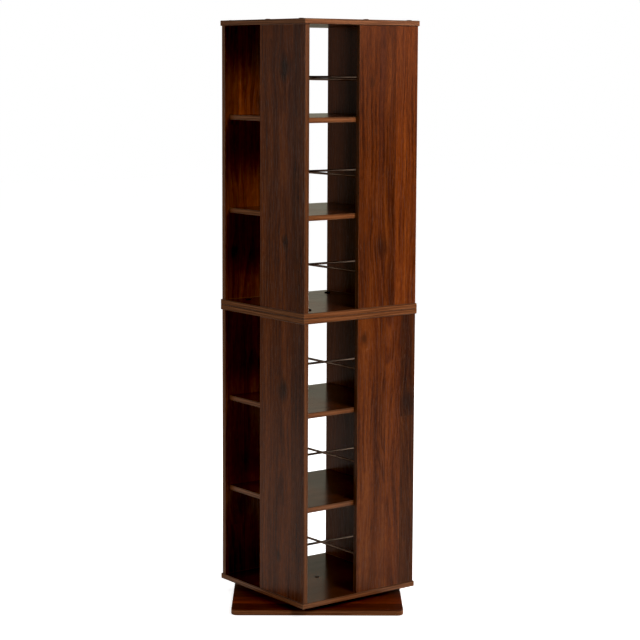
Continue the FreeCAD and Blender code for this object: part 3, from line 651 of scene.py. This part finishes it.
def screw_shape(bench, given, head, point, turns, segments):
    """A screw's head and point, with its thread from the head's last ring to the point's first one."""
    thread = threaded(bench, given["Core Radius"], given["Crest Radius"], head[-1][1], point[0][1], given["Pitch"],
                      turns, segments)
    return welded(bench, turned(bench, head, segments), thread, turned(bench, point, segments))


def finish_tree(bench, given, gives, shape):
    """One shape on every place, turned as the place says, then realized and given its finish."""
    aim = bench.add("GeometryNodeInputNamedAttribute", {"Name": "aim"}, data_type="FLOAT_VECTOR")
    turn = bench.add("FunctionNodeEulerToRotation", {0: aim.outputs[0]})
    copies = bench.add("GeometryNodeInstanceOnPoints", {"Points": given["Places"], "Instance": shape,
                                                        "Rotation": turn.outputs[0]})
    real = bench.add("GeometryNodeRealizeInstances", {0: copies.outputs[0]})
    smooth = bench.add("GeometryNodeSetShadeSmooth", {"Geometry": real.outputs[0]})
    finished = bench.add("GeometryNodeSetMaterial", {"Geometry": smooth.outputs[0], "Material": given["Finish"]})
    bench.join(gives["Pieces"], finished.outputs[0])


def make_hardware(name, tree, node, places, sizes, finish):
    """Runs a hardware tree on its places and hands over the plain mesh that stands for a CAD node."""
    mesh = bpy.data.meshes.new(f"{name}_places")
    mesh.from_pydata([place for place, _ in places], [], [])
    aims = mesh.attributes.new("aim", "FLOAT_VECTOR", "POINT")
    for index, (_, aim) in enumerate(places):
        aims.data[index].vector = aim
    piece = bpy.data.objects.new(name, mesh)
    bpy.context.scene.collection.objects.link(piece)
    modifier = piece.modifiers.new("hardware", "NODES")
    modifier.node_group = tree
    for item in tree.interface.items_tree:
        if item.in_out == "INPUT" and item.name in sizes:
            modifier[item.identifier] = sizes[item.name]
        elif item.in_out == "INPUT" and item.name == "Finish":
            modifier[item.identifier] = finish
    bpy.context.view_layer.update()
    evaluated = piece.evaluated_get(bpy.context.evaluated_depsgraph_get())
    plain = bpy.data.meshes.new_from_object(evaluated)
    piece.modifiers.clear()
    piece.data = plain
    shell = bmesh.new()
    shell.from_mesh(plain)
    bmesh.ops.recalc_face_normals(shell, faces=shell.faces)
    shell.to_mesh(plain)
    shell.free()
    plain.name = name
    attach(piece, cad[node]["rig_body"])
    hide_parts(node)


UPRIGHT, UPSIDE_DOWN = (0.0, 0.0, 0.0), (math.pi, 0.0, 0.0)
LYING_ALONG_X, LYING_ALONG_Y = (0.0, math.pi / 2, 0.0), (math.pi / 2, 0.0, 0.0)
PIECE_REACH, CAP_REACH, BALL_REACH, SCREW_REACH = 0.03, 0.016, 0.012, 0.05  # how far one small piece can reach
FEW_SIDES, SOME_SIDES, MANY_SIDES, MOST_SIDES = 16, 24, 36, 48  # what stands for a circle
PAN_HEAD = ((0.72, 0.0), (0.88, -0.14), (0.97, -0.36), (1.0, -0.66), (1.0, -1.0))  # shares of radius and height
LOW_HEAD = ((0.62, 0.0), (0.82, -0.1), (0.95, -0.32), (1.0, -0.62), (1.0, -0.94), (0.98, -1.0))
CRUSHED_PAD = ((0.95, 0.0), (0.99, 0.12), (1.0, 0.35), (0.995, 0.7), (0.985, 1.0), (0.0, 1.0))


def places_at(node, end, aim, reach=PIECE_REACH):
    """The middle of each small piece's low end, middle or high end, with the way that it is turned."""
    share = {"low": 0.0, "middle": 0.5, "high": 1.0}[end]
    return [(Vector(((low.x + high.x) / 2, (low.y + high.y) / 2, low.z + share * (high.z - low.z))), aim)
            for low, high in places_of(node, reach)]


def lying_places(node):
    """The middle of each lying piece, turned along its longer side."""
    return [((low + high) / 2, LYING_ALONG_X if high.x - low.x > high.y - low.y else LYING_ALONG_Y)
            for low, high in places_of(node, PIECE_REACH)]


def scaled_rings(bench, radius, height, profile):
    return [(bench.times(radius, reach), bench.times(height, level)) for reach, level in profile]


def domed_caps():
    """The low domed caps over the top board's screws."""
    tree, bench, given, gives = hardware_tree("domed_cap", ("Radius", "Height", "Rim"))
    radius, height, rim = given["Radius"], given["Height"], given["Rim"]
    rings = [(0.0, 0.0), (radius, 0.0), (radius, rim)]
    rise = bench.minus(height, rim)
    for share in (0.2, 0.45, 0.7, 0.9, 1.0):
        level = bench.times_plus(rise, math.sin(share * TURN / 4), rim)
        reach = math.cos(share * TURN / 4) ** 0.5 if share < 1 else 0.0
        rings.append((bench.times(radius, reach), level))
    finish_tree(bench, given, gives, welded(bench, turned(bench, rings, MANY_SIDES)))
    node = "top_screw_caps"
    low, high = places_of(node, CAP_REACH)[0]
    make_hardware("domed_screw_caps", tree, node, places_at(node, "low", UPRIGHT, CAP_REACH),
                  {"Radius": (high.x - low.x) / 2, "Height": high.z - low.z, "Rim": 0.0004}, brown_plastic)


def wood_screws():
    """Countersunk cross-head screws through the boards into the panels' ends. The head's face is at level 0."""
    labels = ("Head Radius", "Head Depth", "Crest Radius", "Core Radius", "Pitch", "Thread End", "Length",
              "Recess Radius", "Recess Depth")
    tree, bench, given, gives = hardware_tree("wood_screw", labels)
    core, crest, recess = given["Core Radius"], given["Crest Radius"], given["Recess Radius"]
    head_radius, head_foot = given["Head Radius"], bench.times(given["Head Depth"], -1.0)
    head_rim, recess_floor = bench.times(given["Head Depth"], -0.12), bench.times(given["Recess Depth"], -1.0)
    tip, thread_top = bench.times(given["Length"], -1.0), bench.times(given["Length"], -0.32)
    thread_end = bench.times(given["Thread End"], -1.0)
    head = [(0.0, recess_floor), (bench.times(recess, 0.3), recess_floor, "cross"), (recess, 0.0, "cross"),
            (bench.times(head_radius, 0.97), 0.0), (head_radius, head_rim), (crest, head_foot),
            (crest, bench.plus(thread_top, 0.0005)), (core, thread_top)]
    point = [(core, thread_end), (bench.times(core, 0.15), bench.plus(tip, 0.0003)), (0.0, tip)]
    finish_tree(bench, given, gives, screw_shape(bench, given, head, point, turns=12, segments=FEW_SIDES))
    sizes = {"Head Radius": 0.004, "Head Depth": 0.002, "Crest Radius": 0.002, "Core Radius": 0.0014,
             "Pitch": 0.0018, "Thread End": 0.035, "Length": 0.040, "Recess Radius": 0.0024, "Recess Depth": 0.0016}
    for unit in UNITS:
        for board, end, aim in (("bottom", "low", UPSIDE_DOWN), ("top", "high", UPRIGHT)):
            node = f"{unit}_{board}_screws"
            places = places_at(node, end, aim, SCREW_REACH)
            make_hardware(f"{unit}_{board}_wood_screws", tree, node, places, sizes, zinc)


def swivel_screws():
    """Short pan-head cross-head screws in the corners of the swivel's plates. The head's top is at level 0."""
    labels = ("Head Radius", "Head Height", "Crest Radius", "Core Radius", "Pitch", "Length", "Recess Radius")
    tree, bench, given, gives = hardware_tree("swivel_screw", labels)
    radius, height, core = given["Head Radius"], given["Head Height"], given["Core Radius"]
    tip = bench.times(given["Length"], -1.0)
    thread_end = bench.times(given["Length"], -0.82)
    thread_top = bench.minus(bench.times(height, -1.0), 0.0004)
    recess_floor = bench.times(height, -0.6)
    head = [(0.0, recess_floor), (bench.times(given["Recess Radius"], 0.3), recess_floor, "cross"),
            (given["Recess Radius"], 0.0, "cross"), *scaled_rings(bench, radius, height, PAN_HEAD),
            (given["Crest Radius"], bench.times(height, -1.0)), (core, thread_top)]
    point = [(core, thread_end), (bench.times(core, 0.2), bench.plus(tip, 0.0002)), (0.0, tip)]
    finish_tree(bench, given, gives, screw_shape(bench, given, head, point, turns=6, segments=FEW_SIDES))
    sizes = {"Head Radius": 0.004, "Head Height": 0.0024, "Crest Radius": 0.002, "Core Radius": 0.0014,
             "Pitch": 0.0012, "Length": 0.0124, "Recess Radius": 0.0022}
    for plate, end, aim in (("lower", "high", UPRIGHT), ("upper", "low", UPSIDE_DOWN)):
        node = f"swivel_{plate}_screws"
        make_hardware(f"swivel_{plate}_pan_screws", tree, node, places_at(node, end, aim), sizes, zinc)


def unit_bolts():
    """Low-head socket bolts that hold the two units together. The head's top is at level 0."""
    labels = ("Head Radius", "Head Height", "Crest Radius", "Core Radius", "Pitch", "Length", "Socket Corner",
              "Socket Depth")
    tree, bench, given, gives = hardware_tree("unit_bolt", labels)
    radius, height, core = given["Head Radius"], given["Head Height"], given["Core Radius"]
    socket, socket_floor = given["Socket Corner"], bench.times(given["Socket Depth"], -1.0)
    tip = bench.times(given["Length"], -1.0)
    thread_top, thread_end = bench.times(height, -1.4), bench.plus(tip, 0.001)
    head = [(0.0, bench.minus(socket_floor, 0.0004)), (bench.times(socket, 0.6), socket_floor),
            (socket, socket_floor, "hexagon"), (socket, -0.0002, "hexagon"),
            (bench.times(socket, 1.08), 0.0, "hexagon"), *scaled_rings(bench, radius, height, LOW_HEAD),
            (given["Crest Radius"], bench.times(height, -1.0)), (core, thread_top)]
    point = [(core, thread_end), (bench.times(core, 0.85), tip), (0.0, tip)]
    finish_tree(bench, given, gives, screw_shape(bench, given, head, point, turns=18, segments=SOME_SIDES))
    sizes = {"Head Radius": 0.007, "Head Height": 0.0025, "Crest Radius": 0.003, "Core Radius": 0.0025,
             "Pitch": 0.001, "Length": 0.0225, "Socket Corner": 0.0023, "Socket Depth": 0.0016}
    make_hardware("unit_socket_bolts", tree, "unit_bolts", places_at("unit_bolts", "high", UPRIGHT), sizes,
                  black_oxide)


def sleeve_nuts():
    """Flanged sleeve nuts under the lower unit's top board, with hexagon sockets. The flange's foot is at level 0."""
    labels = ("Flange Radius", "Flange Height", "Sleeve Radius", "Bore Radius", "Length", "Socket Corner")
    tree, bench, given, gives = hardware_tree("sleeve_nut", labels)
    flange, height, sleeve = given["Flange Radius"], given["Flange Height"], given["Sleeve Radius"]
    length, bore, socket = given["Length"], given["Bore Radius"], given["Socket Corner"]
    rings = [(bore, length), (bench.times(sleeve, 0.93), length),
             (sleeve, bench.minus(length, 0.0004)), (sleeve, bench.times(height, 1.25)),
             (bench.times(sleeve, 0.95), height), (bench.times(flange, 0.97), height),
             (flange, bench.times(height, 0.8)), (flange, bench.times(height, 0.35)),
             (bench.times(flange, 0.94), bench.times(height, 0.08)),
             (bench.times(flange, 0.84), 0.0), (bench.times(socket, 1.08), 0.0, "hexagon"),
             (socket, 0.0003, "hexagon"), (socket, height, "hexagon"), (bore, height), (bore, length)]
    finish_tree(bench, given, gives, welded(bench, turned(bench, rings, MANY_SIDES)))
    sizes = {"Flange Radius": 0.007, "Flange Height": 0.002, "Sleeve Radius": 0.0045, "Bore Radius": 0.0031,
             "Length": 0.012, "Socket Corner": 0.0039}
    make_hardware("unit_sleeve_nuts", tree, "unit_nuts", places_at("unit_nuts", "low", UPRIGHT), sizes, zinc)


def fluted_dowels():
    """Beech dowels with pressed flutes and chamfered ends, measured from their middle."""
    tree, bench, given, gives = hardware_tree("fluted_dowel", ("Radius", "Length", "Chamfer"))
    radius, half = given["Radius"], bench.times(given["Length"], 0.5)
    shoulder, nose = bench.minus(half, given["Chamfer"]), bench.minus(radius, given["Chamfer"])
    upper = [(0.0, half), (nose, half), (radius, shoulder, "fluted")]
    lower = [(ring[0], bench.times(ring[1], -1.0), *ring[2:]) for ring in reversed(upper)]
    finish_tree(bench, given, gives, welded(bench, turned(bench, upper + lower, MOST_SIDES)))
    sizes = {"Radius": 0.003, "Length": 0.022, "Chamfer": 0.0006}
    shelf_sizes = {**sizes, "Length": 0.0221}
    for unit in UNITS:
        for end in ("bottom", "top"):
            node = f"{unit}_{end}_dowels"
            make_hardware(f"{unit}_{end}_fluted_dowels", tree, node, places_at(node, "middle", UPRIGHT), sizes, beech)
        for shelf in SHELVES:
            node = f"{unit}_shelf_{shelf}_dowels"
            make_hardware(f"{unit}_shelf_{shelf}_fluted_dowels", tree, node, lying_places(node), shelf_sizes, beech)


def race_balls():
    """The steel balls that run between the swivel's plates."""
    tree, bench, given, gives = hardware_tree("race_ball", ("Radius",))
    ball = bench.add("GeometryNodeMeshIcoSphere", {"Radius": given["Radius"], "Subdivisions": 4})
    finish_tree(bench, given, gives, ball.outputs[0])
    make_hardware("race_balls", tree, "swivel_balls", places_at("swivel_balls", "middle", UPRIGHT, BALL_REACH),
                  {"Radius": 0.004}, ball_steel)


def felt_pads():
    """The round felt pads under the base, their rims a little crushed."""
    tree, bench, given, gives = hardware_tree("felt_pad", ("Radius", "Height"))
    rings = [(0.0, 0.0), *scaled_rings(bench, given["Radius"], given["Height"], CRUSHED_PAD)]
    finish_tree(bench, given, gives, welded(bench, turned(bench, rings, MOST_SIDES)))
    make_hardware("crushed_felt_pads", tree, "base_pads", places_at("base_pads", "low", UPRIGHT),
                  {"Radius": 0.013, "Height": 0.0015}, felt)


domed_caps()
wood_screws()
swivel_screws()
unit_bolts()
sleeve_nuts()
fluted_dowels()
race_balls()
felt_pads()


# Room, light and camera


# As fitted to the photo, in radians and metres
CAMERA_AZIMUTH, CAMERA_YAW, CAMERA_PITCH, CAMERA_ROLL = 0.65112, 0.65208, 0.1165, 0.00445
CAMERA_DISTANCE, CAMERA_HEIGHT = 4.2492, 1.2355
FOCAL_PIXELS, FRAME_PIXELS, SENSOR = 1844.2, 640, 36.0
CAMERA_SHIFT = -0.0594
PRINT_GAMMA, PRINT_BLACK = 0.8, 0.0075
LEFT_BEHIND = (-0.607, 0.795, 0.0)  # where the left panels mirror the room to the camera
BLACK, DIM_ROOM, LEFT_GLOW = tone(0.0, 0.0, 0.0), tone(0.035, 0.035, 0.035), tone(0.34, 0.33, 0.30)
WALL_LOW, WALL_HIGH = tone(0.475, 0.455, 0.37), tone(0.37, 0.355, 0.29)
FLOOR_HALF, FLOOR_LEVEL = 14.0, -0.0003
FLOOR_TONE, FLOOR_MIRRORED = tone(0.6, 0.6, 0.6), tone(1.05, 0.92, 0.66)
SOFTBOXES = {  # where it is, what it faces, width, height, watts, spread in degrees, and whether gloss mirrors it
    "key_softbox": ((0.1, -2.5, 2.12), (0.0, 0.0, 1.2), 0.8, 0.8, 5.0, 70, False),
    "key_wide_softbox": ((0.1, -2.6, 2.6), (0.0, 0.0, 0.7), 1.2, 1.2, 70.0, 180, False),
    "front_right_softbox": ((1.9, -2.5, 1.62), (0.0, 0.0, 1.1), 1.2, 1.0, 3.3, 180, True),
    "right_softbox": ((3.0, -1.0, 0.25), (0.0, -0.1, 0.08), 0.6, 0.8, 6.5, 50, True),
    "left_softbox": ((-2.9, -0.5, 1.1), (-0.1, 0.0, 0.6), 1.0, 1.0, 9.0, 180, True),
    "left_back_softbox": ((-2.7, 1.3, 0.9), (-0.1, 0.0, 0.6), 1.0, 1.0, 23.0, 180, True),
    "right_back_softbox": ((2.8, 1.4, 1.1), (0.1, 0.0, 0.6), 1.4, 1.4, 14.0, 180, True),
    "back_top_softbox": ((1.4, 1.9, 2.9), (0.0, 0.0, 0.6), 2.0, 2.0, 36.0, 180, False)}


def white_room():
    """White to the camera. Glossy surfaces mirror a dim room with a pale backdrop, and it lights nothing else."""
    world = bpy.data.worlds.new("studio")
    bpy.context.scene.world = world
    world.use_nodes = True
    world.node_tree.nodes.clear()
    bench = Bench(world.node_tree)
    way = bench.add("ShaderNodeTexCoord").outputs["Generated"]
    facing = bench.vector("DOT_PRODUCT", way, (math.sin(CAMERA_YAW), math.cos(CAMERA_YAW), 0.1))
    backdrop = bench.remap(facing, 0.55, 0.9)
    ray = bench.add("ShaderNodeLightPath")
    left_behind = bench.remap(bench.vector("DOT_PRODUCT", way, LEFT_BEHIND), 0.72, 0.95)
    in_gloss = bench.mix(left_behind, DIM_ROOM, LEFT_GLOW)
    high_up = bench.remap(bench.split(way)["Z"], 0.20, 0.34)
    in_gloss = bench.mix(backdrop, in_gloss, bench.mix(high_up, WALL_LOW, WALL_HIGH))
    light_tone = bench.mix(ray.outputs["Is Glossy Ray"], BLACK, in_gloss)
    seen = bench.add("ShaderNodeBackground", {"Color": PLAIN, "Strength": 1.0})
    lit = bench.add("ShaderNodeBackground", {"Color": light_tone, "Strength": 1.0})
    both = bench.add("ShaderNodeMixShader", {0: ray.outputs["Is Camera Ray"], 1: lit.outputs[0], 2: seen.outputs[0]})
    bench.add("ShaderNodeOutputWorld", {"Surface": both.outputs[0]})


def pale_floor():
    """A floor that the camera sees as near white, dimmer near the tower as painted shade and paler farther out, and
    that glossy surfaces mirror dimly.
    """
    mesh = bpy.data.meshes.new("floor")
    corners = [(-1, -1), (1, -1), (1, 1), (-1, 1)]
    mesh.from_pydata([(x * FLOOR_HALF, y * FLOOR_HALF, FLOOR_LEVEL) for x, y in corners], [], [(0, 1, 2, 3)])
    floor = bpy.data.objects.new("floor", mesh)
    bpy.context.scene.collection.objects.link(floor)
    finish, bench, surface = new_finish("pale_floor")
    surface["Base Color"].default_value = FLOOR_TONE
    surface["Roughness"].default_value = 0.9
    surface["Specular IOR Level"].default_value = 0.0
    ray = bench.add("ShaderNodeLightPath")
    in_mirror = ray.outputs["Is Glossy Ray"]
    bench.join(surface["Emission Color"], bench.mix(in_mirror, PLAIN, FLOOR_MIRRORED))
    place, _ = place_on(bench)
    reach = bench.vector("LENGTH", place)
    # The camera's glow is dimmed near the tower: painted shade round its foot, where the real shadows show through.
    seen = bench.times(ray.outputs["Is Camera Ray"], bench.remap(reach, 0.3, 1.1, 0.84, 1.0))
    left_behind = bench.remap(bench.vector("DOT_PRODUCT", place, LEFT_BEHIND), 0.3, 1.5, 0.0, 0.16)
    in_gloss = bench.math("MAXIMUM", bench.remap(reach, 3.6, 1.2, 0.0, 0.2), left_behind)
    bench.join(surface["Emission Strength"], bench.times_plus(in_mirror, in_gloss, seen))
    mesh.materials.append(finish)


def soft_light(name, place, aim, width, height, power, spread, mirrored):
    lamp = bpy.data.lights.new(name, "AREA")
    lamp.shape, lamp.size, lamp.size_y = "RECTANGLE", width, height
    lamp.energy = power
    lamp.spread = math.radians(spread)
    holder = bpy.data.objects.new(name, lamp)
    holder.visible_glossy = mirrored
    holder.location = place
    holder.rotation_mode = "QUATERNION"
    holder.rotation_quaternion = (Vector(aim) - Vector(place)).to_track_quat("-Z", "Y")
    bpy.context.scene.collection.objects.link(holder)


def photo_camera():
    view = bpy.data.cameras.new("photo_camera")
    view.sensor_width = SENSOR
    view.lens = FOCAL_PIXELS * SENSOR / FRAME_PIXELS
    view.shift_y = CAMERA_SHIFT
    camera = bpy.data.objects.new("photo_camera", view)
    turn = (Matrix.Rotation(-CAMERA_YAW, 4, "Z") @ Matrix.Rotation(math.pi / 2 - CAMERA_PITCH, 4, "X")
            @ Matrix.Rotation(CAMERA_ROLL, 4, "Z"))
    place = Vector((-math.sin(CAMERA_AZIMUTH) * CAMERA_DISTANCE, -math.cos(CAMERA_AZIMUTH) * CAMERA_DISTANCE,
                    CAMERA_HEIGHT))
    camera.matrix_world = Matrix.Translation(place) @ turn
    bpy.context.scene.collection.objects.link(camera)
    bpy.context.scene.camera = camera


white_room()
pale_floor()
for name, settings in SOFTBOXES.items():
    soft_light(name, *settings)
photo_camera()
view_look = bpy.context.scene.view_settings
view_look.view_transform = "Standard"
view_look.gamma = PRINT_GAMMA
view_look.use_curve_mapping = True
view_look.curve_mapping.black_level = (PRINT_BLACK, PRINT_BLACK, PRINT_BLACK)
view_look.curve_mapping.update()
